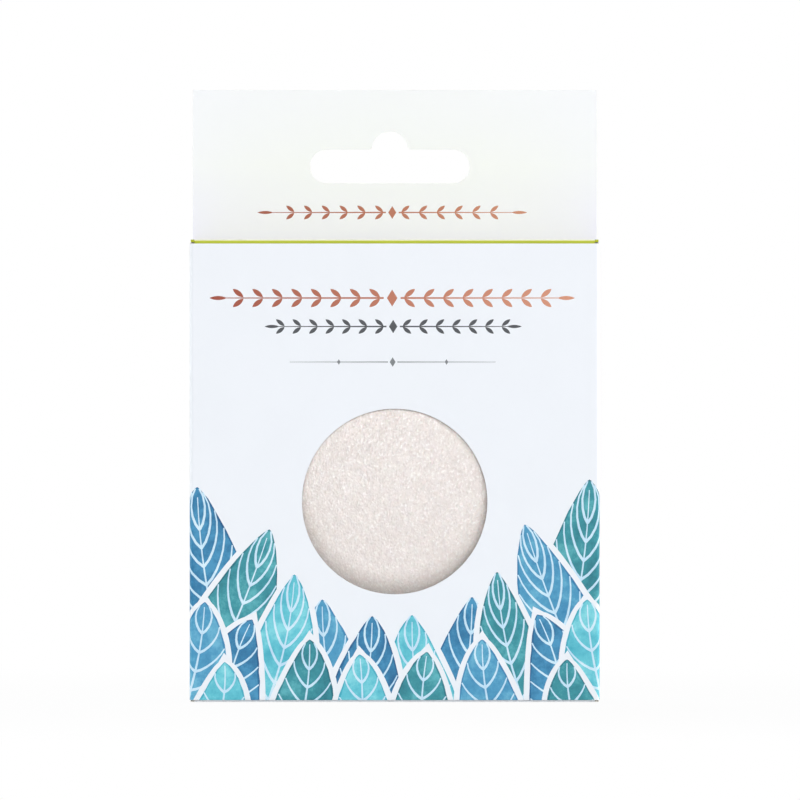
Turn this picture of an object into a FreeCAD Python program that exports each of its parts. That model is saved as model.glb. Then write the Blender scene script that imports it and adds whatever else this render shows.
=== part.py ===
import FreeCAD, Part
import os
from math import atan2, cos, degrees, radians, sin, tan

from FreeCAD import Placement, Rotation, Vector

# A half-ball konjac sponge in its hanging carton.
# The carton is folding boxboard: a glued sleeve with a round window, a doubled hang tab
# and a tuck closure at each end. Each panel is its own solid, parted at its crease.
# +Z is up, the printed front faces -Y, and the origin is on the table under the middle of the carton.
# Lengths are in millimetres and angles in degrees.

# Sponge
sponge_diameter = 77.4
sponge_thickness = 35.8
sponge_rim_radius = 5.0
sponge_shoulder_share = 0.6

# Room round the sponge
side_room = 1.8
front_room = 0.4
back_room = 0.3
rest_room = 0.3
head_room = 12.6

# Board and folds
board = 0.5
fold_inner_radius = 0.3
crease_gap = 0.03
flap_gap = 0.1
overrun = 1.0

# Front panel: its cut edges stop short of the lid's top and the base's underside
lid_reveal = 0.8
base_reveal = 0.4
window_diameter = 37.1

# Hang tab and its peg slot, which sits a little left of the middle
header_rise = 30.7
header_side_gap = 0.1
slot_length = 32.4
slot_width = 6.9
slot_hump_radius = 3.65
slot_hump_flare = 0.7
slot_rise = 15.25
slot_offset = -1.0

# Glue flap of the sleeve's seam, and the back panel's cut edge beside it
glue_flap_width = 14.0
glue_flap_end_gap = 3.0
glue_flap_taper = 4.0
seam_edge_gap = 0.15

# Lid and base panels, and their tuck flaps
end_side_gap = 0.2
tuck_length = 12.5
tuck_side_gap = 1.2
tuck_crease_side_gap = 0.75
tuck_shoulder_start = 0.6
tuck_shoulder_end = 0.8
tuck_taper = 1.6
tuck_corner_radius = 7.0
tuck_front_gap = 0.3
tuck_lean_deg = 10.0
tuck_fold_in_deg = 20.0

# Dust flaps
dust_length = 27.0
dust_front_gap = 2.0
dust_back_gap = 0.8
dust_shoulder = 8.0
dust_front_taper_deg = 15.0
dust_back_taper_deg = 25.0
dust_corner_radius = 4.0
dust_notch = 1.2

# Levels and faces that the pieces share
flap_stack = board + flap_gap + board
sponge_bottom = flap_stack + rest_room
sponge_centre_z = sponge_bottom + sponge_diameter / 2
carton_width = sponge_diameter + 2 * (side_room + board)
carton_depth = board + front_room + sponge_thickness + back_room + board + board
carton_height = sponge_bottom + sponge_diameter + head_room + flap_stack
half_width = carton_width / 2
half_depth = carton_depth / 2
fold_radius = fold_inner_radius + board
half_round = board / 2
panel_half_width = half_width - fold_radius
front_face = -half_depth
front_inner = front_face + board
back_face = half_depth
back_inner = back_face - board
glue_inner = back_inner - board
side_low = flap_stack + crease_gap
side_high = carton_height - side_low
header_top = carton_height + header_rise
header_fold_z = header_top - board
slot_centre_z = carton_height + slot_rise
end_half_width = half_width - end_side_gap
tuck_half_width = end_half_width - tuck_side_gap
tuck_crease_half_width = end_half_width - tuck_crease_side_gap
tuck_crease_y = front_inner + tuck_front_gap + half_round
base_mid_z = half_round
lid_mid_z = carton_height - half_round
dust_crease_x = half_width - half_round
dust_mid_low_z = flap_stack - half_round
dust_mid_high_z = carton_height - dust_mid_low_z
X_AXIS = Vector(1, 0, 0)
Y_AXIS = Vector(0, 1, 0)
Z_AXIS = Vector(0, 0, 1)


# Outline helpers

def arc(start, middle, end):
    return Part.Arc(start, middle, end).toShape()


def line(start, end):
    return Part.LineSegment(start, end).toShape()


def corner_arc(centre, radius, first_deg, last_deg, point):
    """An arc about centre; point turns two plane coordinates into a vector."""
    def on_circle(angle_deg):
        angle = radians(angle_deg)
        return point(centre[0] + radius * cos(angle), centre[1] + radius * sin(angle))

    return arc(on_circle(first_deg), on_circle((first_deg + last_deg) / 2), on_circle(last_deg))


def prism(edges, direction):
    return Part.Face(Part.Wire(Part.__sortEdges__(edges))).extrude(direction)


def polygon_prism(points, direction):
    return Part.Face(Part.makePolygon(points + points[:1])).extrude(direction)


def rounded_outline(corners):
    """Edges of a closed outline of (point, corner radius) pairs, with tangent arcs at the round corners."""
    edges = []
    ends = []
    for index, (point, radius) in enumerate(corners):
        before = corners[index - 1][0]
        after = corners[(index + 1) % len(corners)][0]
        to_before = (before - point).normalize()
        to_after = (after - point).normalize()
        if radius == 0:
            ends.append((point, point))
            continue
        half_turn = to_before.getAngle(to_after) / 2
        reach = radius / tan(half_turn)
        middle_way = (to_before + to_after).normalize()
        middle = point + middle_way * (radius / sin(half_turn) - radius)
        first = point + to_before * reach
        last = point + to_after * reach
        edges.append(arc(first, middle, last))
        ends.append((first, last))
    for index, (_, last) in enumerate(ends):
        edges.append(line(last, ends[(index + 1) % len(ends)][0]))
    return edges


def flap(corners, length):
    """A flap in its own frame: crease along X, board thickness along Y, reaching up Z.
    Its creased edge is rounded about the crease line, and corners give its cut outline in X and Z."""
    half_span = max(abs(point.x) for point, _ in corners) + overrun
    reach = length + overrun

    def section(y, z):
        return Vector(-half_span, y, z)

    edges = [
        corner_arc((0, 0), half_round, 180, 360, section),
        line(section(half_round, 0), section(half_round, reach)),
        line(section(half_round, reach), section(-half_round, reach)),
        line(section(-half_round, reach), section(-half_round, 0)),
    ]
    strip = prism(edges, X_AXIS * (2 * half_span))
    blank = prism(rounded_outline(corners), Y_AXIS * (2 * board))
    blank.translate(Y_AXIS * -board)
    return strip.common(blank)


# Sleeve

def front_panel():
    height = carton_height - lid_reveal - base_reveal
    panel = Part.makeBox(2 * panel_half_width, board, height, Vector(-panel_half_width, front_face, base_reveal))
    window = Part.makeCylinder(
        window_diameter / 2, board + 2 * overrun,
        Vector(0, front_face - overrun, sponge_centre_z), Y_AXIS)
    return panel.cut(window)


def slot_cutter(y_from, depth):
    """The peg slot: round-ended, with a half-round hump in the middle of its upper edge."""
    end_radius = slot_width / 2
    straight = slot_length / 2 - end_radius

    def at(x, z):
        return Vector(slot_offset + x, y_from, slot_centre_z + z)

    edges = [
        line(at(-straight, end_radius), at(-slot_hump_radius, end_radius)),
        corner_arc((0, end_radius), slot_hump_radius, 180, 0, at),
        line(at(slot_hump_radius, end_radius), at(straight, end_radius)),
        corner_arc((straight, 0), end_radius, 90, -90, at),
        line(at(straight, -end_radius), at(-straight, -end_radius)),
        corner_arc((-straight, 0), end_radius, 270, 90, at),
    ]
    cutter = prism(edges, Y_AXIS * depth)
    flares = [
        edge for edge in cutter.Edges
        if abs(edge.CenterOfMass.y - (y_from + depth / 2)) < crease_gap
        and abs(abs(edge.CenterOfMass.x - slot_offset) - slot_hump_radius) < crease_gap
    ]
    return cutter.makeFillet(slot_hump_flare, flares)


def back_panel():
    """The back panel runs on above the lid as the rear layer of the hang tab."""
    seam_x = -half_width + seam_edge_gap
    header_half_width = half_width - header_side_gap
    low_z = board + crease_gap
    corners = [
        (seam_x, low_z), (panel_half_width, low_z),
        (panel_half_width, carton_height), (header_half_width, carton_height),
        (header_half_width, header_fold_z), (-header_half_width, header_fold_z),
        (-header_half_width, carton_height), (seam_x, carton_height),
    ]
    panel = polygon_prism([Vector(x, back_inner, z) for x, z in corners], Y_AXIS * board)
    return panel.cut(slot_cutter(back_inner - overrun, board + 2 * overrun))


def header_front():
    """The hang tab's front layer: folded over the top edge, glued to the rear layer, creased at the lid."""
    half_span = half_width - header_side_gap

    def section(y, z):
        return Vector(-half_span, y, z)

    edges = [
        line(section(glue_inner, carton_height - board), section(glue_inner, header_fold_z)),
        corner_arc((back_inner, header_fold_z), board, 180, 0, section),
        line(section(back_face, header_fold_z), section(back_inner, header_fold_z)),
        line(section(back_inner, header_fold_z), section(back_inner, carton_height)),
        corner_arc((glue_inner, carton_height), board, 0, -90, section),
    ]
    layer = prism(edges, X_AXIS * (2 * half_span))
    return layer.cut(slot_cutter(glue_inner - overrun, 2 * board + 2 * overrun))


def side_panel(side, fold_back_face):
    """A side panel with the round folds at its front and back edges. side is 1 on the right and -1 on the left.
    The front fold runs on past the dust flaps' creases to the height of the front panel's cut edges."""
    outer = half_width
    inner = half_width - board
    front_centre = (panel_half_width, front_face + fold_radius)
    back_centre = (panel_half_width, fold_back_face - fold_radius)

    def at(x, y):
        return Vector(side * x, y, side_low)

    def corner_at(x, y):
        return Vector(side * x, y, base_reveal)

    edges = [
        corner_arc(front_centre, fold_radius, -90, 0, at),
        line(at(outer, front_centre[1]), at(outer, back_centre[1])),
        corner_arc(back_centre, fold_radius, 0, 90, at),
        line(at(panel_half_width, fold_back_face), at(panel_half_width, fold_back_face - board)),
        corner_arc(back_centre, fold_inner_radius, 90, 0, at),
        line(at(inner, back_centre[1]), at(inner, front_centre[1])),
        corner_arc(front_centre, fold_inner_radius, 0, -90, at),
        line(at(panel_half_width, front_inner), at(panel_half_width, front_face)),
    ]
    panel = prism(edges, Z_AXIS * (side_high - side_low))
    corner_edges = [
        corner_arc(front_centre, fold_radius, -90, 0, corner_at),
        line(corner_at(outer, front_centre[1]), corner_at(inner, front_centre[1])),
        corner_arc(front_centre, fold_inner_radius, 0, -90, corner_at),
        line(corner_at(panel_half_width, front_inner), corner_at(panel_half_width, front_face)),
    ]
    corner = prism(corner_edges, Z_AXIS * (carton_height - lid_reveal - base_reveal))
    return panel.fuse(corner).removeSplitter()


def glue_flap():
    """The seam's glue flap, creased to the left side panel and glued inside the back panel."""
    crease_x = -panel_half_width
    tip_x = crease_x + glue_flap_width
    low = side_low + glue_flap_end_gap
    high = side_high - glue_flap_end_gap
    corners = [
        (crease_x, low), (tip_x, low + glue_flap_taper),
        (tip_x, high - glue_flap_taper), (crease_x, high),
    ]
    return polygon_prism([Vector(x, glue_inner, z) for x, z in corners], Y_AXIS * board)


# End closures

def tuck_notch(mid_z, inward):
    """What is cut from an end panel's front edge for its tuck flap. The edge is bevelled on the inner face,
    so that the flap can fold further in. inward is -1 on the lid, whose inner face is underneath."""
    bevel = board * tan(radians(tuck_lean_deg + tuck_fold_in_deg))
    edge_y = tuck_crease_y + half_round + crease_gap
    outer_z = mid_z - inward * half_round
    inner_z = mid_z + inward * half_round
    past = inward * overrun
    slope = bevel / board * overrun
    corners = [
        (front_face, outer_z - past), (edge_y - slope, outer_z - past),
        (edge_y + bevel + slope, inner_z + past), (front_face, inner_z + past),
    ]
    return polygon_prism([Vector(-half_width, y, z) for y, z in corners], X_AXIS * carton_width)


def lid_panel():
    front_y = tuck_crease_y - half_round
    back_y = glue_inner - crease_gap
    panel = Part.makeBox(
        2 * end_half_width, back_y - front_y, board,
        Vector(-end_half_width, front_y, carton_height - board))
    return panel.cut(tuck_notch(lid_mid_z, -1))


def base_panel():
    """The base closes the sleeve from below, on a rounded crease at the back panel's lower edge."""
    front_y = tuck_crease_y - half_round
    crease_y = back_face - half_round

    def section(y, z):
        return Vector(-end_half_width, y, z)

    edges = [
        line(section(front_y, 0), section(crease_y, 0)),
        corner_arc((crease_y, base_mid_z), half_round, -90, 90, section),
        line(section(crease_y, board), section(front_y, board)),
        line(section(front_y, board), section(front_y, 0)),
    ]
    panel = prism(edges, X_AXIS * (2 * end_half_width))
    return panel.cut(tuck_notch(base_mid_z, 1))


def tuck_flap(mid_z, turn_deg):
    """A tuck flap, nearly as wide as its end panel at the crease and narrower past its shoulders."""
    tip_half_width = tuck_half_width - tuck_taper
    corners = [
        (Vector(-tuck_crease_half_width, 0, -board), 0), (Vector(tuck_crease_half_width, 0, -board), 0),
        (Vector(tuck_crease_half_width, 0, tuck_shoulder_start), 0),
        (Vector(tuck_half_width, 0, tuck_shoulder_end), 0),
        (Vector(tip_half_width, 0, tuck_length), tuck_corner_radius),
        (Vector(-tip_half_width, 0, tuck_length), tuck_corner_radius),
        (Vector(-tuck_half_width, 0, tuck_shoulder_end), 0),
        (Vector(-tuck_crease_half_width, 0, tuck_shoulder_start), 0),
    ]
    shape = flap(corners, tuck_length)
    shape.Placement = Placement(Vector(0, tuck_crease_y, mid_z), Rotation(X_AXIS, turn_deg))
    return shape


def dust_flap(side, mid_z):
    """A dust flap, creased to a side panel and lying flat under the lid or over the base."""
    front = front_inner + dust_front_gap
    back = glue_inner - dust_back_gap
    front_tip = front + (dust_length - dust_shoulder) * tan(radians(dust_front_taper_deg))
    back_tip = back - dust_length * tan(radians(dust_back_taper_deg))
    corners = [
        (Vector(front + dust_notch, 0, -board), 0), (Vector(back, 0, -board), 0),
        (Vector(back, 0, 0), 0),
        (Vector(back_tip, 0, dust_length), dust_corner_radius),
        (Vector(front_tip, 0, dust_length), dust_corner_radius),
        (Vector(front, 0, dust_shoulder), 0), (Vector(front, 0, 2 * dust_notch), 0),
        (Vector(front + dust_notch, 0, dust_notch), 0),
    ]
    shape = flap(corners, dust_length)
    inward = X_AXIS * -side
    turn = Rotation(Y_AXIS, inward.cross(Y_AXIS), inward, "XYZ")
    shape.Placement = Placement(Vector(side * dust_crease_x, 0, mid_z), turn)
    return shape


# Sponge

def sponge():
    """A half-ball: a dome of a shoulder arc and a wide crown arc, on a rounded rim and a flat back."""
    radius = sponge_diameter / 2
    flat_y = glue_inner - back_room
    rim_y = flat_y - sponge_rim_radius
    foot_radius = radius - sponge_rim_radius
    dome = sponge_thickness - sponge_rim_radius
    shoulder = sponge_shoulder_share * dome
    crown = (radius ** 2 + dome ** 2 - 2 * radius * shoulder) / (2 * (dome - shoulder))
    meeting_deg = degrees(atan2(crown - dome, radius - shoulder))

    def at(reach, height):
        return Vector(reach, rim_y - height, sponge_centre_z)

    edges = [
        corner_arc((radius - shoulder, 0), shoulder, 0, meeting_deg, at),
        corner_arc((0, dome - crown), crown, meeting_deg, 90, at),
        line(at(0, dome), at(0, -sponge_rim_radius)),
        line(at(0, -sponge_rim_radius), at(foot_radius, -sponge_rim_radius)),
        corner_arc((foot_radius, 0), sponge_rim_radius, -90, 0, at),
    ]
    face = Part.Face(Part.Wire(Part.__sortEdges__(edges)))
    return face.revolve(at(0, 0), Y_AXIS, 360)


def pieces():
    return {
        "sponge": sponge(),
        "front_panel": front_panel(),
        "back_panel": back_panel(),
        "header_front": header_front(),
        "right_side_panel": side_panel(1, back_face),
        "left_side_panel": side_panel(-1, back_inner),
        "glue_flap": glue_flap(),
        "lid_panel": lid_panel(),
        "lid_tuck_flap": tuck_flap(lid_mid_z, 180 + tuck_lean_deg),
        "lid_dust_flap_left": dust_flap(-1, dust_mid_high_z),
        "lid_dust_flap_right": dust_flap(1, dust_mid_high_z),
        "base_panel": base_panel(),
        "base_tuck_flap": tuck_flap(base_mid_z, -tuck_lean_deg),
        "base_dust_flap_left": dust_flap(-1, dust_mid_low_z),
        "base_dust_flap_right": dust_flap(1, dust_mid_low_z),
    }


def main():
    os.makedirs("parts", exist_ok=True)
    for name, shape in pieces().items():
        box = shape.BoundBox
        print(f"{name}: {len(shape.Solids)} solid, valid {shape.isValid()}, volume {shape.Volume:.2f} mm3, "
              f"x {box.XMin:.2f} {box.XMax:.2f}, y {box.YMin:.2f} {box.YMax:.2f}, z {box.ZMin:.2f} {box.ZMax:.2f}")
        shape.exportStep(f"parts/{name}.step")


main()
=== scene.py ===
import math
import random

import bpy
import numpy as np
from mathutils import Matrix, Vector, noise
from mathutils.geometry import delaunay_2d_cdt


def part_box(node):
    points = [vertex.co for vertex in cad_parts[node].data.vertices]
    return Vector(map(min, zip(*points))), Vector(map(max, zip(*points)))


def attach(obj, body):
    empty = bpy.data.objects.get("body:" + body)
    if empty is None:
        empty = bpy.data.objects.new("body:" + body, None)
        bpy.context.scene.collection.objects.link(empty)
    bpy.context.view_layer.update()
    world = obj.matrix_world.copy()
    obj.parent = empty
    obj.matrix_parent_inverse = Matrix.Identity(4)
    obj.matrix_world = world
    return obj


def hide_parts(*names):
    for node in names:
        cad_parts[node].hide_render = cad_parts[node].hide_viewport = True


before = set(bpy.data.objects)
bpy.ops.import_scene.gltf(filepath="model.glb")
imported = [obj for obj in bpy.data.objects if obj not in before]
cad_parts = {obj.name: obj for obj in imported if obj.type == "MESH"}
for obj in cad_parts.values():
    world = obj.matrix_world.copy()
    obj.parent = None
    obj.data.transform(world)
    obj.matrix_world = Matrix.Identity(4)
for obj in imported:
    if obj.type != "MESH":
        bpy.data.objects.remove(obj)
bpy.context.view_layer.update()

mm = 0.001
boardThick = 0.5            # all lengths below are in mm unless a line says otherwise
foldRadius = 0.8
foldSteps = 6
windowRadius = 18.55
joinWithin = 0.001          # printed outlines closer than this meet


def nodeBox(node):
    low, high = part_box(node)
    return [v / mm for v in low], [v / mm for v in high]


frontLow, frontHigh = nodeBox("front_panel")
rightLow, rightHigh = nodeBox("right_side_panel")
leftLow, leftHigh = nodeBox("left_side_panel")
headerLow, headerHigh = nodeBox("header_front")
spongeLow, spongeHigh = nodeBox("sponge")
flatLow = nodeBox("base_dust_flap_left")[1][2]           # the side panels' flats end at the dust flaps
flatHigh = nodeBox("lid_dust_flap_left")[0][2]
windowCentre = (0.0, (spongeLow[2] + spongeHigh[2]) / 2)
print("frame loaded, front panel", [round(v, 2) for v in frontLow], [round(v, 2) for v in frontHigh])


# materials

def linear(r, g, b):        # screen colour 0-255 to the linear value a shader wants
    def one(v):
        v = v / 255
        return v / 12.92 if v <= 0.04045 else ((v + 0.055) / 1.055) ** 2.4
    return (one(r), one(g), one(b), 1.0)


class Shader:               # a principled material with short calls for its nodes
    def __init__(self, name, **sockets):
        self.material = bpy.data.materials.new(name)
        self.material.use_nodes = True
        self.tree = self.material.node_tree
        self.surface = self.tree.nodes["Principled BSDF"]
        for socket, value in sockets.items():
            self.surface.inputs[socket.replace("_", " ")].default_value = value
        self.coords = self.tree.nodes.new("ShaderNodeTexCoord")

    def node(self, kind, **settings):
        made = self.tree.nodes.new(kind)
        for key, value in settings.items():
            setattr(made, key, value)
        return made

    def feed(self, node, **inputs):
        for key, value in inputs.items():
            socket = node.inputs[int(key[1:])] if key[0] == "i" and key[1:].isdigit() else node.inputs[key]
            if isinstance(value, bpy.types.NodeSocket):
                self.tree.links.new(value, socket)
            else:
                socket.default_value = value
        return node

    def stretched(self, scale):
        mapping = self.node("ShaderNodeMapping")
        self.feed(mapping, Vector=self.coords.outputs["Object"], Scale=scale)
        return mapping.outputs[0]

    def axis(self, index, source="Object"):              # x, y or z of the object's own place or normal
        split = self.node("ShaderNodeSeparateXYZ")
        self.feed(split, i0=self.coords.outputs[source])
        return split.outputs[index]

    def noise(self, size, detail=3.0, rough=0.55, stretch=(1, 1, 1)):   # size of a blotch in mm
        tex = self.node("ShaderNodeTexNoise")
        self.feed(tex, Vector=self.stretched(stretch), Scale=1 / (size * mm), Detail=detail, Roughness=rough)
        return tex.outputs[0]

    def remap(self, value, low, high, toLow=0.0, toHigh=1.0):
        ranged = self.node("ShaderNodeMapRange")
        self.feed(ranged, i0=value, i1=low, i2=high, i3=toLow, i4=toHigh)
        return ranged.outputs[0]

    def math(self, operation, a, b=0.0):
        made = self.node("ShaderNodeMath", operation=operation)
        self.feed(made, i0=a, i1=b)
        return made.outputs[0]

    def mix(self, factor, a, b):
        made = self.node("ShaderNodeMix", data_type="RGBA")
        self.feed(made, i0=factor, i6=a, i7=b)
        return made.outputs[2]

    def set(self, socket, value):
        self.tree.links.new(value, self.surface.inputs[socket])

    def bump(self, height, strength, distance):
        made = self.node("ShaderNodeBump")
        self.feed(made, Height=height, Strength=strength, Distance=distance * mm)
        self.set("Normal", made.outputs[0])


cardLook = {
    "white": linear(234, 238, 244), "shade": linear(233, 237, 243),      # coated, printed side
    "tab": linear(243, 245, 250), "tabCounterBounce": linear(236, 235, 255),     # coated, hang tab: a lighter copy of the board's card, standing in for the brighter light high on the tab; by the lid a bluer painted counter-tint against the lime lid's bounce light
    "tabRamp": 16.0,                                     # height over which the one turns into the other
    "raw": linear(226, 223, 216), "rawFleck": linear(206, 202, 192),     # uncoated side and cut edges
    "lime": linear(193, 202, 52), "limeShade": linear(186, 195, 46),
    "wearAndHighlight": linear(255, 255, 222), "highlightFrom": 0.0, "highlightTo": 0.5,       # painted highlight: the lime crease's upward-facing side turns pale, standing in for light from above
    "coatSmoothest": 0.46, "coatRoughest": 0.56, "coatRough": 0.5, "rawRough": 0.88,
    "coatGloss": 0.4, "rawGloss": 0.2,
    "blotch": 14.0, "fibre": 0.35, "fibreStretch": (1, 1, 0.35),
    "facing": 0.3,                                       # how far a face looks outward to count as coated
    "coatBump": (0.05, 0.02), "mixedBump": (0.06, 0.02), "rawBump": (0.1, 0.03),
}


def cardMaterial(name, printed, shade, outward=None, counterBounceUpTo=None, wearAndHighlight=None):   # outward: printed side
    s = Shader(name, Specular_IOR_Level=cardLook["coatGloss"])
    if counterBounceUpTo is None:
        blotchAndCounterBounce = s.remap(s.noise(cardLook["blotch"], 4), 0.35, 0.65)
    else:
        # painted counter-tint: bluer towards the lid, cancelling the lime lid's bounce light
        blotchAndCounterBounce = s.remap(s.axis(2), counterBounceUpTo * mm, (counterBounceUpTo - cardLook["tabRamp"]) * mm)
    fibres = s.noise(cardLook["fibre"], 5, 0.7, cardLook["fibreStretch"])
    coat = s.mix(blotchAndCounterBounce, printed, shade)
    if wearAndHighlight is not None:
        # painted highlight: pale where the normal turns upward on the crease
        highlightMask = s.remap(s.axis(2, "Normal"), cardLook["highlightFrom"], cardLook["highlightTo"])
        coat = s.mix(highlightMask, coat, wearAndHighlight)
    if outward is None:
        s.set("Base Color", coat)
        s.set("Roughness", s.remap(fibres, 0.3, 0.7, cardLook["coatSmoothest"], cardLook["coatRoughest"]))
        s.bump(fibres, *cardLook["coatBump"])
        return s.material
    facing = s.node("ShaderNodeVectorMath", operation="DOT_PRODUCT")
    s.feed(facing, i0=s.coords.outputs["Normal"], i1=outward)
    isCoat = s.math("GREATER_THAN", facing.outputs["Value"], cardLook["facing"])
    fleck = s.mix(s.remap(fibres, 0.42, 0.62), cardLook["raw"], cardLook["rawFleck"])
    s.set("Base Color", s.mix(isCoat, fleck, coat))
    s.set("Roughness", s.remap(isCoat, 0, 1, cardLook["rawRough"], cardLook["coatRough"]))
    s.bump(fibres, *cardLook["mixedBump"])
    return s.material


def rawMaterial(name):
    s = Shader(name, Roughness=cardLook["rawRough"], Specular_IOR_Level=cardLook["rawGloss"])
    fibres = s.noise(cardLook["fibre"], 5, 0.75, cardLook["fibreStretch"])
    s.set("Base Color", s.mix(s.remap(fibres, 0.4, 0.62), cardLook["raw"], cardLook["rawFleck"]))
    s.bump(fibres, *cardLook["rawBump"])
    return s.material


inkLook = {                 # wash colours: thin, full, pooled
    "deepBlue": (linear(70, 148, 190), linear(46, 120, 164), linear(24, 86, 132)),
    "teal": (linear(92, 178, 188), linear(54, 144, 156), linear(28, 108, 124)),
    "aqua": (linear(136, 218, 228), linear(98, 196, 212), linear(58, 164, 188)),
    "skyBlue": (linear(108, 182, 212), linear(74, 152, 192), linear(44, 120, 168)),
    "paleLine": (linear(214, 238, 250), linear(198, 228, 246), linear(180, 214, 238)),
}


washLook = {                # blotches: size, noise detail and roughness, how far they swing the wash
    "wide": (6.0, 5, 0.6, 0.62), "fine": (1.4, 4, 0.65, 0.28), "grain": 0.28,
    "gloss": 0.2, "smoothest": 0.48, "roughest": 0.6, "bump": (0.06, 0.02),
}


def inkMaterial(name, tones):
    s = Shader(name, Specular_IOR_Level=washLook["gloss"])
    pool = s.node("ShaderNodeAttribute", attribute_name="pool")          # 0 wash, 1 pooled pigment
    wide, fine = (s.remap(s.noise(size, detail, rough), 0.3, 0.7, -swing, swing)
                  for size, detail, rough, swing in (washLook["wide"], washLook["fine"]))
    grain = s.noise(washLook["grain"], 2, 0.6)
    depth = s.math("ADD", s.math("ADD", wide, fine), pool.outputs["Fac"])
    depth = s.math("ADD", depth, s.remap(grain, 0.3, 0.7, 0.42, 0.58))
    lower = s.mix(s.remap(depth, 0.0, 0.55), tones[0], tones[1])
    s.set("Base Color", s.mix(s.remap(depth, 0.6, 1.5), lower, tones[2]))
    s.set("Roughness", s.remap(grain, 0.3, 0.7, washLook["smoothest"], washLook["roughest"]))
    s.bump(grain, *washLook["bump"])
    return s.material


foilLook = {
    # painted reflection: the foil runs from dark at its left end to light at its right, as light falls from
    # the right
    "left": linear(116, 39, 11), "right": linear(161, 108, 83), "half": 36.0,
    "metal": 0.35, "rough": 0.5, "ripple": 0.5, "bump": (0.08, 0.03),
}
plainInk = {
    "slate": linear(58, 61, 66), "grey": linear(112, 116, 120),
    "rough": 0.55, "gloss": 0.35, "wear": 0.25, "wornLift": 1.25,
}


def foilMaterial(name):
    s = Shader(name, Metallic=foilLook["metal"], Roughness=foilLook["rough"])
    # painted reflection: darker to the left, lighter to the right across the foil
    along = s.remap(s.axis(0), -foilLook["half"] * mm, foilLook["half"] * mm)
    s.set("Base Color", s.mix(along, foilLook["left"], foilLook["right"]))
    s.bump(s.noise(foilLook["ripple"], 3), *foilLook["bump"])
    return s.material


def slateMaterial(name, tone):
    s = Shader(name, Roughness=plainInk["rough"], Specular_IOR_Level=plainInk["gloss"])
    wearAndHighlight = tuple(min(1.0, v * plainInk["wornLift"]) for v in tone[:3]) + (1.0,)
    s.set("Base Color", s.mix(s.remap(s.noise(plainInk["wear"], 3), 0.3, 0.75), tone, wearAndHighlight))
    return s.material


spongeLook = {
    "body": linear(232, 224, 220), "deep": linear(225, 216, 212), "fibre": linear(237, 230, 226),
    # near-white specks are painted glints, standing in for light catching the skin's granules
    "glintSpeck": linear(252, 249, 246), "pore": linear(211, 202, 197),
    "fibreShare": 0.45, "pitShare": 0.35, "poreShare": 0.45, "glintShare": 0.5,
    "smoothest": 0.28, "roughest": 0.58, "scatter": 0.12, "scatterReach": 0.6,
    "gloss": 0.5, "sheen": 0.1, "sheenRough": 0.5,
    "streak": 0.9, "streakStretch": (1, 1, 0.5),         # fibres run up and down
    "grain": 0.4, "grainStretch": (1, 1, 0.75), "blotch": 5.5, "pit": 0.48, "pitStretch": (1, 1, 0.8),
    "streakHeight": 0.4, "grainHeight": 0.9, "pitHeight": 0.4, "bump": (0.8, 0.12),
}


def konjacMaterial(name):
    s = Shader(name, Subsurface_Weight=spongeLook["scatter"],
               Subsurface_Scale=spongeLook["scatterReach"] * mm, Specular_IOR_Level=spongeLook["gloss"],
               Sheen_Weight=spongeLook["sheen"], Sheen_Roughness=spongeLook["sheenRough"])
    streak = s.noise(spongeLook["streak"], 3, 0.6, spongeLook["streakStretch"])
    grain = s.noise(spongeLook["grain"], 2, 0.55, spongeLook["grainStretch"])
    blotch = s.noise(spongeLook["blotch"], 4, 0.55)
    pores = s.node("ShaderNodeTexVoronoi", feature="F1")
    s.feed(pores, Vector=s.stretched(spongeLook["pitStretch"]), Scale=1 / (spongeLook["pit"] * mm))
    pit = s.remap(pores.outputs["Distance"], 0.1, 0.55)
    # darker where the streaks run low: partly the sponge's own fibre tone, partly painted shade of its
    # relief
    tone = s.mix(s.remap(streak, 0.38, 0.6), spongeLook["deep"], spongeLook["body"])
    for share, over in ((s.remap(blotch, 0.4, 0.68, 0.0, spongeLook["fibreShare"]), "fibre"),
                        # painted shade: darker in the hearts of the pits
                        (s.remap(pit, 0, 1, spongeLook["pitShare"], 0.0), "deep"),
                        # pores: dark specks where the grain runs low, the sponge's pores drawn darker as
                        # painted shade
                        (s.remap(grain, 0.41, 0.34, 0.0, spongeLook["poreShare"]), "pore"),
                        # painted glints: near-white specks where the grain runs high
                        (s.remap(grain, 0.57, 0.64, 0.0, spongeLook["glintShare"]), "glintSpeck")):
        tone = s.mix(share, tone, spongeLook[over])
    s.set("Base Color", tone)
    s.set("Roughness", s.remap(grain, 0.35, 0.65, spongeLook["roughest"], spongeLook["smoothest"]))
    relief = s.math("ADD", s.math("MULTIPLY", streak, spongeLook["streakHeight"]),
                    s.math("MULTIPLY", grain, spongeLook["grainHeight"]))
    relief = s.math("ADD", relief, s.math("MULTIPLY", pit, spongeLook["pitHeight"]))
    s.bump(relief, *spongeLook["bump"])
    return s.material


coatedCard = cardMaterial("coated card", cardLook["white"], cardLook["shade"])
rawCard = rawMaterial("uncoated card")
inkSlots = {name: inkMaterial(f"{name} wash", tones) for name, tones in inkLook.items()}
copperFoil = foilMaterial("copper foil")
slateInk = slateMaterial("slate ink", plainInk["slate"])
greyInk = slateMaterial("grey ink", plainInk["grey"])
# hang tab card: lighter than the front's card as painted light, with the painted counter-tint by the lid
tabCard = cardMaterial("hang tab card", cardLook["tab"], cardLook["tabCounterBounce"],
                       counterBounceUpTo=headerLow[2] + cardLook["tabRamp"])
slotOrder = ["card", "raw", "tab"] + list(inkLook) + ["foil", "slate", "grey"]
slotMaterials = [coatedCard, rawCard, tabCard] + list(inkSlots.values()) + [copperFoil, slateInk, greyInk]
print("materials made:", len(slotMaterials))


# the carton's own nodes: printed on the outside, bare inside

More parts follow.
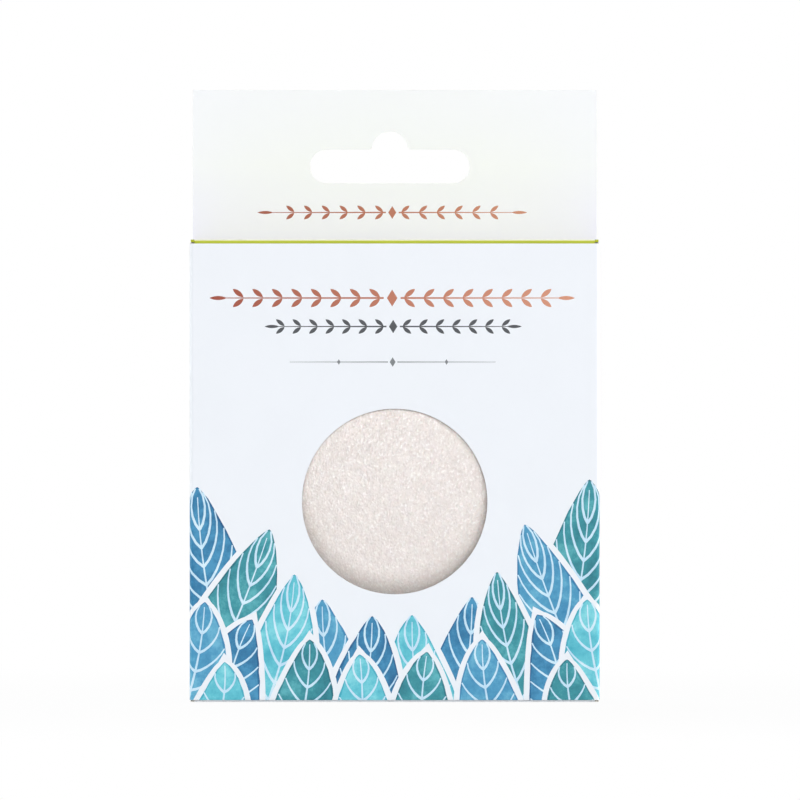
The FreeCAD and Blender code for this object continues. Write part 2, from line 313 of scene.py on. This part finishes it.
whiteSides = {
    "back_panel": (0, 1, 0), "glue_flap": (0, 1, 0),
    "lid_dust_flap_left": (0, 0, 1), "lid_dust_flap_right": (0, 0, 1),
    "base_panel": (0, 0, -1), "base_tuck_flap": (0, -1, 0),
    "base_dust_flap_left": (0, 0, -1), "base_dust_flap_right": (0, 0, -1),
}
limeSide = (0, -0.8, 0.6)                                # lid's top and front
# the tuck flap's crease carries the painted highlight
limeCreaseHighlight = {"lid_panel": None, "lid_tuck_flap": cardLook["wearAndHighlight"]}


def dress(nodeName, card):
    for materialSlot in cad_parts[nodeName].material_slots:
        materialSlot.material = card


for nodeName, outward in whiteSides.items():
    dress(nodeName, cardMaterial(f"{nodeName} card", cardLook["white"], cardLook["shade"], outward))
for nodeName, wearAndHighlight in limeCreaseHighlight.items():
    limeInk = (cardLook["lime"], cardLook["limeShade"])
    dress(nodeName, cardMaterial(f"{nodeName} lime card", *limeInk, limeSide, wearAndHighlight=wearAndHighlight))
print("carton nodes dressed:", len(whiteSides) + len(limeCreaseHighlight))


# printed shapes, each a list of (across, up) points with its ink

def shape(points, ink, pool=0.0):
    return {"points": [(float(a), float(b)) for a, b in points], "ink": slotOrder.index(ink), "pool": pool}


def circle(centre, radius, ink="card", steps=128):
    turns = [2 * math.pi * i / steps for i in range(steps)]
    return shape([(centre[0] + radius * math.cos(t), centre[1] + radius * math.sin(t)) for t in turns], ink)


def stroke(path, widths, ink, pool=0.0):                 # a brush line along path, widths at each point
    path = np.array(path)
    run = np.gradient(path, axis=0)
    run /= np.linalg.norm(run, axis=1)[:, None]
    side = np.stack([-run[:, 1], run[:, 0]], axis=1) * (np.array(widths)[:, None] / 2)
    return shape(list(path - side) + list((path + side)[::-1]), ink, pool)


leafPrint = {
    "steps": 26, "gap": 1.15, "rim": 0.34, "ragged": 0.09, "seed": 7,
    "widestAt": 0.4, "tipPower": 0.75, "narrowest": 0.12, "tipGrow": 1.6, "turnStep": 0.01,
    "ribWidth": 0.8, "ribTaper": 0.8, "ribSteps": 18,
    "veinWidth": 0.55, "veinTaper": 0.55, "veinSteps": 7, "veinEvery": 3.9, "veinLean": 0.17,
    "veinCurve": 1.25, "veinReach": 0.97, "veinSpan": 0.93, "veinLimit": 0.995,
    "rimPool": 0.75, "poolSpread": 0.15,
    "ring": 3.35,                                        # white ring round the window
    # foot across and up, tip across and up, width, bend, ink
    "leaves": [
        (-52, -14, -56, 36, 17, -3, "teal"),
        (-70, -14, -72, 40, 17, 2, "deepBlue"),
        (-60, -14, -65, 23, 14, -3, "aqua"),
        (-78, -14, -79, 25, 14, 2, "skyBlue"),
        (-46, -14, -48, 24, 13, 3, "skyBlue"),
        (52, -14, 54, 36, 17, 3, "deepBlue"),
        (68, -14, 71, 41, 17, -2, "teal"),
        (58, -14, 63, 22, 14, 3, "skyBlue"),
        (76, -14, 79, 26, 14, -2, "aqua"),
        (45, -14, 46, 24, 13, -3, "aqua"),
        (-22, -22, -39.5, 43, 22, 4, "deepBlue"),
        (22, -22, 39, 44.5, 21, -4, "teal"),
        (-3, -24, -14.5, 20.5, 17, 3, "skyBlue"),
        (4, -24, 15.5, 21, 17, -3, "deepBlue"),
        (-50, -18, -25, 34.5, 18, -2, "teal"),
        (50, -18, 26, 35.5, 17, 2, "skyBlue"),
        (-38, -22, -20, 25.5, 16, -4, "aqua"),
        (38, -22, 20.5, 26, 15, 4, "teal"),
        (14, -26, 3.5, 17.4, 17, 3, "aqua"),
        (-16, -26, -4.5, 17.2, 17, -3, "deepBlue"),
        (-33, -16, -28.5, 16.5, 14, 3, "deepBlue"),
        (33, -16, 28.5, 17.5, 14, -3, "deepBlue"),
        (-47, -12, -38, 20, 14, -2, "skyBlue"),
        (47, -12, 38.5, 20.5, 14, 2, "aqua"),
        (-24, -18, -17, 12.5, 13, -2, "teal"),
        (25, -18, 17.5, 12.5, 13, 2, "skyBlue"),
        (6, -18, 6.5, 10, 12.5, 1, "teal"),
        (-8, -18, -7, 9.5, 12, -1, "aqua"),
        (-40, -14, -34, 8, 11, -2, "aqua"),
        (41, -14, 34.5, 8.5, 11, 2, "teal"),
    ],
}


def leafAxis(leaf, t):
    foot, tip = np.array(leaf[0:2], float), np.array(leaf[2:4], float)
    run = tip - foot
    across = np.array([-run[1], run[0]]) / np.linalg.norm(run)
    t = np.asarray(t)[:, None]
    return foot + run * t + across * (leaf[5] * 4 * t * (1 - t))


def leafHalfWidth(leaf, t):
    widest, power = leafPrint["widestAt"], leafPrint["tipPower"]
    form = np.sqrt(t) * (1 - t) ** power
    return leaf[4] / 2 * form / (math.sqrt(widest) * (1 - widest) ** power)


def leafSides(leaf, t):
    axis, step = leafAxis(leaf, t), leafPrint["turnStep"]
    run = leafAxis(leaf, np.minimum(t + step, 1.0)) - leafAxis(leaf, np.maximum(t - step, 0.0))
    run /= np.linalg.norm(run, axis=1)[:, None]
    return axis, run, np.stack([-run[:, 1], run[:, 0]], axis=1)


def leafOutline(leaf, grow, ragged, draw):
    t = (1 - np.cos(np.linspace(0, math.pi, leafPrint["steps"]))) / 2
    axis, run, side = leafSides(leaf, t)
    half = leafHalfWidth(leaf, t) + grow
    inside = [i for i in range(1, len(t) - 1) if half[i] > leafPrint["narrowest"]]
    first, last = inside[0] - 1, inside[-1] + 1
    foot = axis[first] - run[first] * max(grow, 0.0)
    tip = axis[last] + run[last] * max(grow, 0.0) * leafPrint["tipGrow"]
    right = [axis[i] - side[i] * (half[i] + ragged * draw.uniform(-1, 1)) for i in inside]
    left = [axis[i] + side[i] * (half[i] + ragged * draw.uniform(-1, 1)) for i in inside]
    return [foot] + right + [tip] + left[::-1]


def leafVeins(leaf):
    length = math.dist(leaf[0:2], leaf[2:4])
    ribT = np.linspace(0.0, leafPrint["veinReach"], leafPrint["ribSteps"])
    ribWidths = leafPrint["ribWidth"] * (1 - leafPrint["ribTaper"] * ribT)
    marks = [stroke(leafAxis(leaf, ribT), ribWidths, "paleLine")]
    reach = np.linspace(0.0, leafPrint["veinReach"], leafPrint["veinSteps"])
    widths = leafPrint["veinWidth"] * (1 - leafPrint["veinTaper"] * reach)
    lean = leafPrint["veinLean"] * reach ** leafPrint["veinCurve"]
    count = int(length / leafPrint["veinEvery"])
    for i in range(2, count):
        t = np.minimum(i / count * leafPrint["veinSpan"] + lean, leafPrint["veinLimit"])
        axis, run, side = leafSides(leaf, t)
        for sign in (-1, 1):
            path = axis + side * (sign * leafHalfWidth(leaf, t) * reach)[:, None]
            marks.append(stroke(path, widths, "paleLine"))
    return marks


def leafBorder():
    draw = random.Random(leafPrint["seed"])
    shapes = []
    for leaf in leafPrint["leaves"]:
        pool = draw.uniform(-leafPrint["poolSpread"], leafPrint["poolSpread"])
        shapes.append(shape(leafOutline(leaf, leafPrint["gap"], 0.0, draw), "card"))
        for grow, depth in ((0.0, pool + leafPrint["rimPool"]), (-leafPrint["rim"], pool)):
            shapes.append(shape(leafOutline(leaf, grow, leafPrint["ragged"], draw), leaf[6], depth))
        shapes += leafVeins(leaf)
    shapes.append(circle(windowCentre, windowRadius + leafPrint["ring"]))
    return shapes


sprigPrint = {              # ornaments: centre across and up, half length, height, ink, leaf spacing
    "foilSprig": (-0.5, 80.8, 35.0, 3.4, "foil", 3.9),
    "slateSprig": (-0.3, 75.1, 24.4, 2.7, "slate", 3.3),
    "greyRule": (-0.4, 68.0, 20.6, 1.9, "grey", 0.0),
    "headerSprig": (-0.5, 98.4, 25.9, 2.6, "foil", 3.6),
}


sprigForm = {               # shares of a sprig's height, its middle or its leaf spacing
    "middle": 0.62, "stem": 0.085, "stemStart": 0.8, "stemEnds": (1.3, 0.6), "stemSteps": 12, "bead": 0.6,
    "firstLeaf": 1.15, "lastGap": 0.7, "leanDeg": 38, "leafLong": 0.8, "leafWide": 0.36,
    "tipLong": 0.9, "tipBack": 0.5, "tipWide": 0.3, "leafSteps": 11, "leafRound": 0.8,
}


def diamond(centre, width, height, ink):
    a, b = centre
    return shape([(a - width / 2, b), (a, b - height / 2), (a + width / 2, b), (a, b + height / 2)], ink)


def littleLeaf(foot, angle, length, width, ink):
    t = np.linspace(0, 1, sprigForm["leafSteps"])
    half = width / 2 * np.sin(math.pi * t) ** sprigForm["leafRound"]
    along = np.array([math.cos(angle), math.sin(angle)])
    side = np.array([-along[1], along[0]])
    path = np.array(foot) + np.outer(t * length, along)
    return shape(list(path - half[:, None] * side) + list((path + half[:, None] * side)[::-1][1:-1]), ink)


def sprig(settings):
    across, up, half, height, ink, every = settings
    form = sprigForm
    middle, stem, long = height * form["middle"], height * form["stem"], height * form["leafLong"]
    start, lean = middle * form["stemStart"], math.radians(form["leanDeg"])
    thick, thin = form["stemEnds"]
    marks = [diamond((across, up), middle, height, ink)]
    for sign in (-1, 1):
        path = [(across + sign * d, up) for d in np.linspace(start, half, form["stemSteps"])]
        marks.append(stroke(path, np.linspace(stem * thick, stem * thin, form["stemSteps"]), ink))
        if not every:
            bead = (across + sign * (start + half) / 2, up)
            marks.append(diamond(bead, middle * form["bead"], height * form["bead"], ink))
            continue
        for d in np.arange(middle * form["firstLeaf"], half - every * form["lastGap"], every):
            for upDown in (-1, 1):
                angle = upDown * lean if sign > 0 else math.pi - upDown * lean
                foot = (across + sign * d, up + upDown * stem / 2)
                marks.append(littleLeaf(foot, angle, long, long * form["leafWide"], ink))
        tip = (across + sign * (half - every * form["tipBack"]), up)
        angle = 0 if sign > 0 else math.pi
        marks.append(littleLeaf(tip, angle, every * form["tipLong"], long * form["tipWide"], ink))
    return marks


# printed board: the flat design is cut into one mesh with an ink for each face

def placeFront(across, up, depth):
    return (across, frontLow[1] + depth, up), (0, -1, 0)


def placeSide(side, backFace):                           # from the front fold round to the back fold
    flatStart = frontHigh[0]
    foldRun = foldRadius * math.pi / 2
    flatEnd = flatStart + foldRun + (backFace - foldRadius) - (frontLow[1] + foldRadius)

    def place(across, up, depth):
        run = abs(across) - flatStart
        if run < foldRun:
            turn = run / foldRadius
            normal = (side * math.sin(turn), -math.cos(turn), 0)
            centre = (side * flatStart, frontLow[1] + foldRadius)
        elif abs(across) <= flatEnd:
            normal = (side, 0, 0)
            centre = (side * flatStart, frontLow[1] + foldRadius + run - foldRun)
        else:
            turn = (abs(across) - flatEnd) / foldRadius
            normal = (side * math.cos(turn), math.sin(turn), 0)
            centre = (side * flatStart, backFace - foldRadius)
        reach = foldRadius - depth
        return (centre[0] + normal[0] * reach, centre[1] + normal[1] * reach, up), normal

    steps = [foldRun * i / foldSteps for i in range(foldSteps + 1)]
    guides = [side * (flatStart + s) for s in steps] + [side * (flatEnd + s) for s in steps]
    return place, guides, flatEnd + foldRun


def boardMesh(name, outline, shapes, holes, place, guides=(), levels=(), ground="card", edge="raw"):
    points, edges, faces = [], [], []

    def addLoop(loop):
        first = len(points)
        points.extend(Vector(p) for p in loop)
        faces.append(list(range(first, len(points))))

    addLoop(outline)
    low = np.min(outline, axis=0)
    high = np.max(outline, axis=0)
    kept = []
    for mark in shapes:
        spots = np.array(mark["points"])
        if (spots.max(axis=0) > low).all() and (spots.min(axis=0) < high).all():
            kept.append(mark)
            addLoop(mark["points"])
    for loop in holes:
        addLoop(loop)
    for across in guides:
        edges.append((len(points), len(points) + 1))
        points.extend([Vector((across, low[1])), Vector((across, high[1]))])
    for up in levels:
        edges.append((len(points), len(points) + 1))
        points.extend([Vector((low[0], up)), Vector((high[0], up))])
    firstHole = 1 + len(kept)
    spots, _, triangles, _, _, sources = delaunay_2d_cdt(points, edges, faces, 1, joinWithin)

    outer, inks, pools = [], [], []
    for triangle, source in zip(triangles, sources):
        if not source or min(source) > 0 or max(source) >= firstHole:
            continue
        mark = kept[max(source) - 1] if max(source) > 0 else None
        a, b, c = (spots[i] for i in triangle)
        if (b - a).cross(c - a) < 0:
            triangle = triangle[::-1]
        outer.append(tuple(triangle))
        inks.append(mark["ink"] if mark else slotOrder.index(ground))
        pools.append(mark["pool"] if mark else 0.0)
    used = sorted({i for triangle in outer for i in triangle})
    renumber = {old: new for new, old in enumerate(used)}
    outer = [tuple(renumber[i] for i in triangle) for triangle in outer]
    placed = [place(spots[i].x, spots[i].y, 0.0) for i in used]
    under = [place(spots[i].x, spots[i].y, boardThick)[0] for i in used]
    count = len(used)
    inner = [tuple(i + count for i in triangle[::-1]) for triangle in outer]
    seen = {}
    for a, b, c in outer:
        for pair in ((a, b), (b, c), (c, a)):
            seen[pair] = seen.get(pair, 0) + 1
    rims = [(b, a, a + count, b + count) for a, b in seen if (b, a) not in seen]

    mesh = bpy.data.meshes.new(name)
    verts = [Vector(p) * mm for p, _ in placed] + [Vector(p) * mm for p in under]
    mesh.from_pydata(verts, [], outer + inner + rims)
    rest = [slotOrder.index(edge)] * (len(inner) + len(rims))
    mesh.polygons.foreach_set("material_index", inks + rest)
    pool = mesh.attributes.new("pool", "FLOAT", "FACE")
    pool.data.foreach_set("value", pools + [0.0] * len(rest))
    normals = []
    for polygon in mesh.polygons:
        for corner in polygon.vertices:
            if polygon.index < len(outer):
                normals.append(placed[corner][1])
            elif polygon.index < len(outer) + len(inner):
                normals.append(tuple(-v for v in placed[corner - count][1]))
            else:
                normals.append(tuple(polygon.normal))
    mesh.normals_split_custom_set(normals)
    for material in slotMaterials:
        mesh.materials.append(material)
    made = bpy.data.objects.new(name, mesh)
    bpy.context.collection.objects.link(made)
    print(name, "faces", len(mesh.polygons))
    return made


def rectangle(left, right, bottom, top):
    return [(left, bottom), (right, bottom), (right, top), (left, top)]


border = leafBorder()
ornaments = sprig(sprigPrint["foilSprig"]) + sprig(sprigPrint["slateSprig"]) + sprig(sprigPrint["greyRule"])
windowHole = circle(windowCentre, windowRadius, steps=160)["points"]
frontSheet = rectangle(frontLow[0], frontHigh[0], frontLow[2], frontHigh[2])
frontPrint = boardMesh("frontPrint", frontSheet, border + ornaments, [windowHole], placeFront)
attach(frontPrint, "carton")
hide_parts("front_panel")

for sideName, side, low, high in (("right", 1, rightLow, rightHigh), ("left", -1, leftLow, leftHigh)):
    place, guides, farEdge = placeSide(side, high[1])
    near, bend, far = frontHigh[0], frontHigh[0] + foldRadius * math.pi / 2, farEdge
    sheet = [(near, low[2]), (bend, low[2]), (bend, flatLow), (far, flatLow),
             (far, flatHigh), (bend, flatHigh), (bend, high[2]), (near, high[2])]
    if side < 0:
        sheet = [(-across, up) for across, up in sheet[::-1]]
    sidePrint = boardMesh(f"{sideName}SidePrint", sheet, border, [], place, guides)
    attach(sidePrint, "carton")
    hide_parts(f"{sideName}_side_panel")


# hang tab's front layer: flat to its top, folded back over the rear layer, with hot foil

rearTop = nodeBox("back_panel")[1][2]
headerForm = {
    "levels": (0.0, 0.01, 0.15, 0.28, 0.38, 0.45),       # up from the rear layer's top
    "overFrom": 0.005, "onFace": 0.01, "digits": 3,
}


def placeHeader(across, up, depth):
    if depth > 0:
        up = max(up, headerLow[2] + depth)               # bevelled at the lid's crease
        over = up - rearTop
        if over > headerForm["overFrom"]:
            depth = boardThick + math.sqrt(max(0.0, boardThick ** 2 - over ** 2))
    return (across, headerLow[1] + depth, up), (0, -1, 0)


def pegSlot():                                           # the slot's outline, off the node's own front face
    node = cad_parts["header_front"]
    spots = [node.matrix_world @ vertex.co / mm for vertex in node.data.vertices]
    flat = [(round(spot.x, headerForm["digits"]), round(spot.z, headerForm["digits"])) for spot in spots]
    onFace = [abs(spot.y - headerLow[1]) <= headerForm["onFace"] for spot in spots]
    rim = set()
    for polygon in node.data.polygons:
        if not all(onFace[i] for i in polygon.vertices):
            continue
        ring = [flat[i] for i in polygon.vertices]
        for a, b in zip(ring, ring[1:] + ring[:1]):
            if (b, a) in rim:
                rim.remove((b, a))
            else:
                rim.add((a, b))
    step = dict(rim)
    middle = (0.0, (headerLow[2] + headerHigh[2]) / 2)
    loop = [min(step, key=lambda p: math.dist(p, middle))]
    while step[loop[-1]] != loop[0]:
        loop.append(step[loop[-1]])
    return loop[::-1]                                    # a hole in a face runs backwards


headerSheet = rectangle(headerLow[0], headerHigh[0], headerLow[2], headerHigh[2])
headerLevels = [rearTop + v for v in headerForm["levels"]]
headerPrint = boardMesh("headerPrint", headerSheet, sprig(sprigPrint["headerSprig"]), [pegSlot()],
                        placeHeader, levels=headerLevels, ground="tab", edge="tab")
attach(headerPrint, "carton")
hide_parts("header_front")


# sponge: a dense dome with pores and fibres in its mesh

spongeForm = {
    "around": 480, "fineStep": 0.21, "coarseStep": 1.1, "fineReach": 21.0, "leastStep": 0.3,
    "rim": 5.0, "shoulderShare": 0.6,
    "crownShift": (-0.1, 3.3), "shiftReach": (23.0, 37.0),   # the crown sits a little up and to the left
    "flatten": 0.78, "flattenReach": (17.2, 29.0),           # pressed by the panel
    "swell": (0.2, 9.0), "lump": (0.05, 2.4), "streak": (0.05, 0.7), "pit": (0.08, 0.9),
    "streakLong": 1.9, "pitLong": 0.7, "pitReach": 0.42, "pitPower": 1.5, "highest": 0.12, "sink": 0.1,
}


def spongeProfile():                                     # reach from the axis and y, from front to back
    radius = (spongeHigh[0] - spongeLow[0]) / 2
    dome = spongeHigh[1] - spongeLow[1] - spongeForm["rim"]
    shoulder = spongeForm["shoulderShare"] * dome
    crown = (radius ** 2 + dome ** 2 - 2 * radius * shoulder) / (2 * (dome - shoulder))
    meet = math.atan2(crown - dome, radius - shoulder)
    rimY = spongeHigh[1] - spongeForm["rim"]
    parts = [
        (crown * (math.pi / 2 - meet), lambda s: (crown * math.sin(s / crown),
                                                  rimY - (dome - crown) - crown * math.cos(s / crown))),
        (shoulder * meet, lambda s: (radius - shoulder + shoulder * math.cos(meet - s / shoulder),
                                     rimY - shoulder * math.sin(meet - s / shoulder))),
        (spongeForm["rim"] * math.pi / 2, lambda s: (
            radius - spongeForm["rim"] + spongeForm["rim"] * math.cos(s / spongeForm["rim"]),
            rimY + spongeForm["rim"] * math.sin(s / spongeForm["rim"]))),
        (radius - spongeForm["rim"], lambda s: (radius - spongeForm["rim"] - s, spongeHigh[1])),
    ]
    spots, travelled = [], 0.0
    for length, at in parts:
        s = 0.0
        while s < length - spongeForm["leastStep"] * spongeForm["fineStep"]:
            if travelled + s > 0:
                spots.append(at(s))
            fine = travelled + s < spongeForm["fineReach"]
            s += spongeForm["fineStep"] if fine else spongeForm["coarseStep"]
        travelled += length
    return spots, (0.0, spongeLow[1]), (0.0, spongeHigh[1])


def fade(value, start, end):                             # 1 up to start, then smoothly down to 0 at end
    t = min(1.0, max(0.0, (value - start) / (end - start)))
    return 1 - t * t * (3 - 2 * t)


def spongeRelief(p, normal):                             # how far the skin stands off its smooth form
    at = Vector(p)
    if normal[1] < 0:
        far = math.hypot(at.x, at.z - windowCentre[1])
        at.y -= (at.y - spongeLow[1]) * spongeForm["flatten"] * fade(far, *spongeForm["flattenReach"])
        share = fade(far, *spongeForm["shiftReach"])
        at += Vector((spongeForm["crownShift"][0], 0, spongeForm["crownShift"][1])) * share
    fibre = Vector((at.x, at.y, at.z / spongeForm["streakLong"]))
    relief = 0.0
    for key, spot in (("swell", at), ("lump", at), ("streak", fibre)):
        height, size = spongeForm[key]
        relief += height * noise.noise(spot / size)
    deep, size = spongeForm["pit"]
    nearest = noise.voronoi(Vector((at.x, at.y, at.z * spongeForm["pitLong"])) / size)[0][0]
    relief -= deep * max(0.0, 1 - nearest / spongeForm["pitReach"]) ** spongeForm["pitPower"]
    return at + Vector(normal) * (min(relief, spongeForm["highest"]) - spongeForm["sink"])


def spongeMesh():
    spots, apex, back = spongeProfile()
    line = np.array([apex] + spots + [back])
    run = np.gradient(line, axis=0)
    run /= np.linalg.norm(run, axis=1)[:, None]
    verts, faces = [], []
    turns = [2 * math.pi * i / spongeForm["around"] for i in range(spongeForm["around"])]
    cz = windowCentre[1]
    verts.append(spongeRelief((0, apex[1], cz), (0, -1, 0)))
    for (reach, y), (dr, dy) in zip(line[1:-1], run[1:-1]):
        for t in turns:
            c, s = math.cos(t), math.sin(t)
            verts.append(spongeRelief((reach * c, y, cz + reach * s), (dy * c, -dr, dy * s)))
    verts.append(spongeRelief((0, back[1], cz), (0, 1, 0)))
    n = spongeForm["around"]
    for i in range(n):
        faces.append((0, 1 + i, 1 + (i + 1) % n))
    for ring in range(len(spots) - 1):
        a, b = 1 + ring * n, 1 + (ring + 1) * n
        for i in range(n):
            j = (i + 1) % n
            faces.append((a + i, b + i, b + j, a + j))
    last, end = 1 + (len(spots) - 1) * n, len(verts) - 1
    for i in range(n):
        faces.append((last + i, end, last + (i + 1) % n))
    mesh = bpy.data.meshes.new("konjacSponge")
    mesh.from_pydata([v * mm for v in verts], [], faces)
    mesh.polygons.foreach_set("use_smooth", [True] * len(faces))
    mesh.materials.append(konjacMaterial("konjac fibre"))
    made = bpy.data.objects.new("konjacSponge", mesh)
    bpy.context.collection.objects.link(made)
    return made


konjacSponge = spongeMesh()
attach(konjacSponge, "sponge")
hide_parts("sponge")
print("sponge faces", len(konjacSponge.data.polygons))


# stage, light and camera

stageLook = {
    "size": 6.0, "drop": 0.02, "floorTone": (0.7, 0.7, 0.7, 1.0), "floorRough": 0.9,
    "nearWhite": 0.1, "farWhite": 0.35, "shadowShare": 0.04,
    "worldLight": 0.07, "worldTone": (0.97, 0.985, 1.0, 1.0), "lampAim": 55.0,
}


def whiteWhenSeen(tree, plain, white, output, share=None):   # white to camera, glossy and transmission rays
    join = tree.links.new
    path = tree.nodes.new("ShaderNodeLightPath")
    seen = path.outputs["Is Camera Ray"]
    for operation, other in (("MAXIMUM", path.outputs["Is Glossy Ray"]),
                             ("MAXIMUM", path.outputs["Is Transmission Ray"]), ("MULTIPLY", share)):
        if other is None:
            continue
        made = tree.nodes.new("ShaderNodeMath")
        made.operation = operation
        join(seen, made.inputs[0])
        join(other, made.inputs[1])
        seen = made.outputs[0]
    mixer = tree.nodes.new("ShaderNodeMixShader")
    for socket, value in enumerate((seen, plain, white)):
        join(value, mixer.inputs[socket])
    join(mixer.outputs[0], tree.nodes[output].inputs[0])


def makeFloor():
    half = stageLook["size"] / 2
    mesh = bpy.data.meshes.new("floor")
    corners = [(-half, -half, 0), (half, -half, 0), (half, half, 0), (-half, half, 0)]
    mesh.from_pydata(corners, [], [(0, 1, 2, 3)])
    floor = bpy.data.objects.new("floor", mesh)
    floor.location.z = -stageLook["drop"] * mm
    bpy.context.collection.objects.link(floor)
    material = bpy.data.materials.new("pale floor")
    material.use_nodes = True
    tree = material.node_tree
    base = tree.nodes["Principled BSDF"]
    base.inputs["Base Color"].default_value = stageLook["floorTone"]
    base.inputs["Roughness"].default_value = stageLook["floorRough"]
    glow = tree.nodes.new("ShaderNodeEmission")
    geometry = tree.nodes.new("ShaderNodeNewGeometry")
    far = tree.nodes.new("ShaderNodeVectorMath")
    far.operation = "LENGTH"
    share = tree.nodes.new("ShaderNodeMapRange")
    share.inputs[1].default_value = stageLook["nearWhite"]
    share.inputs[2].default_value = stageLook["farWhite"]
    share.inputs[3].default_value = 1 - stageLook["shadowShare"]
    tree.links.new(geometry.outputs["Position"], far.inputs[0])
    tree.links.new(far.outputs["Value"], share.inputs[0])
    whiteWhenSeen(tree, base.outputs[0], glow.outputs[0], "Material Output", share.outputs[0])
    mesh.materials.append(material)


def makeWorld():
    world = bpy.data.worlds.new("studio")
    bpy.context.scene.world = world
    world.use_nodes = True
    tree = world.node_tree
    room = tree.nodes["Background"]
    room.inputs[0].default_value = stageLook["worldTone"]
    room.inputs[1].default_value = stageLook["worldLight"]
    white = tree.nodes.new("ShaderNodeBackground")
    white.inputs[0].default_value = (1, 1, 1, 1)
    whiteWhenSeen(tree, room.outputs[0], white.outputs[0], "World Output")


lampSettings = {            # place in metres, width and height in metres, watts
    "frontSoftbox": ((0.0, -1.6, 0.22), (0.4, 0.3), 11.15),
    "rightSoftbox": ((0.95, -2.65, 0.5), (1.6, 0.95), 25.1),
    "leftSide": ((-1.0, 0.12, 0.05), (0.5, 0.08), 5.0),
    "rightSide": ((1.0, 0.12, 0.05), (0.5, 0.08), 6.5),
    "backSoftbox": ((-0.35, 1.5, 0.4), (0.6, 0.5), 12.0),
    "topSoftbox": ((0.0, 0.1, 1.2), (0.5, 0.4), 3.6),
}


def makeLamps():
    target = Vector((0, 0, stageLook["lampAim"] * mm))
    for name, (place, size, power) in lampSettings.items():
        lamp = bpy.data.lights.new(name, "AREA")
        lamp.shape = "RECTANGLE"
        lamp.size, lamp.size_y = size
        lamp.energy = power
        made = bpy.data.objects.new(name, lamp)
        made.location = place
        made.rotation_euler = (target - Vector(place)).to_track_quat("-Z", "Y").to_euler()
        bpy.context.collection.objects.link(made)


shot = {                    # photograph: 800 px wide, 5 px to a mm at the front panel
    "imageWidth": 800, "pxPerMm": 5.0, "distance": 2800.0, "sensor": 36.0,
    "leftOfMiddlePx": 5.35, "baseLinePx": 702.0,
}


def makeCamera():
    data = bpy.data.cameras.new("camera")
    made = bpy.data.objects.new("camera", data)
    bpy.context.collection.objects.link(made)
    fieldWidth = shot["imageWidth"] / shot["pxPerMm"]
    data.sensor_width = shot["sensor"]
    data.sensor_fit = "HORIZONTAL"
    data.lens = shot["sensor"] * shot["distance"] / fieldWidth
    eyeHeight = (shot["baseLinePx"] - shot["imageWidth"] / 2) / shot["pxPerMm"]
    across = shot["leftOfMiddlePx"] / shot["pxPerMm"]
    made.location = Vector((across, frontLow[1] - shot["distance"], eyeHeight)) * mm
    made.rotation_euler = (math.pi / 2, 0, 0)
    bpy.context.scene.camera = made


makeFloor()
makeWorld()
makeLamps()
makeCamera()
bpy.context.scene.view_settings.view_transform = "Standard"
print("stage, lamps and camera set")
